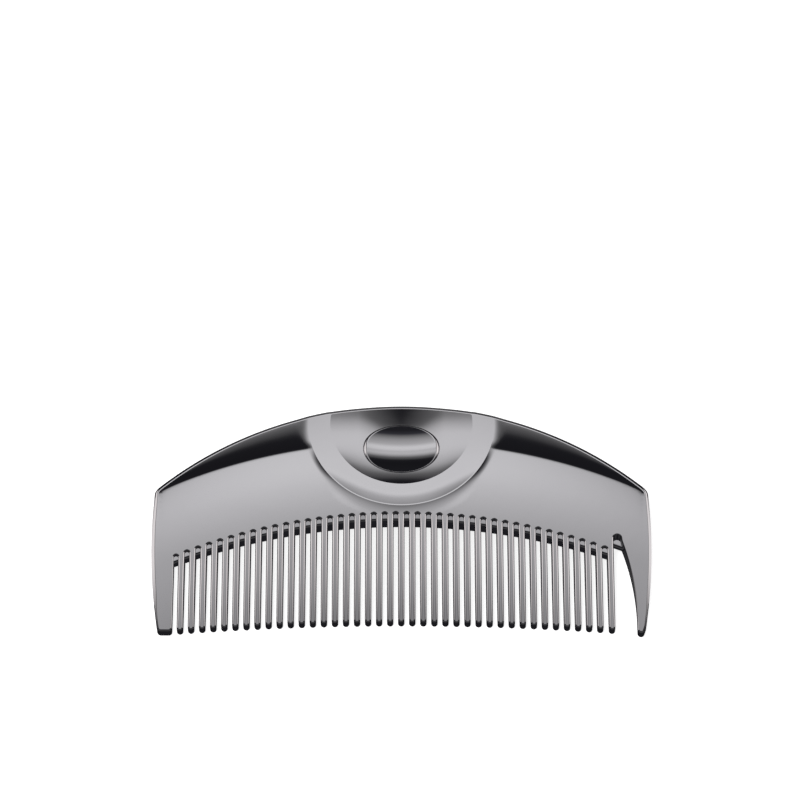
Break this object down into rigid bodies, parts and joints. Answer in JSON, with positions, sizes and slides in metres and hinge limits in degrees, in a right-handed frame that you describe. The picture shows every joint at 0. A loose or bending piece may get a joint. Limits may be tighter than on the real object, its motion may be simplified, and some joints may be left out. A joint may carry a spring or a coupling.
{
  "type": "hair comb",
  "caption": "Half-moon hand comb: a row of fine straight teeth, a hooked parting tooth and a dished thumb rest on the spine.",
  "frame": {"origin": "centre of the comb's bounding box, on the flat back that it lies on", "axes": "+X along the row of teeth towards the hooked parting tooth, +Y from the teeth to the spine, +Z out of the face"},
  "size_m": [0.1296, 0.0654, 0.0071],
  "materials": {
    "dark_chrome": "mirror-polished dark chrome plating",
    "inlay_chrome": "mirror-polished dark chrome plating"
  },
  "bodies": {
    "root": {"comb_body": "dark_chrome", "thumb_inlay": "inlay_chrome"}
  },
  "joints": []
}
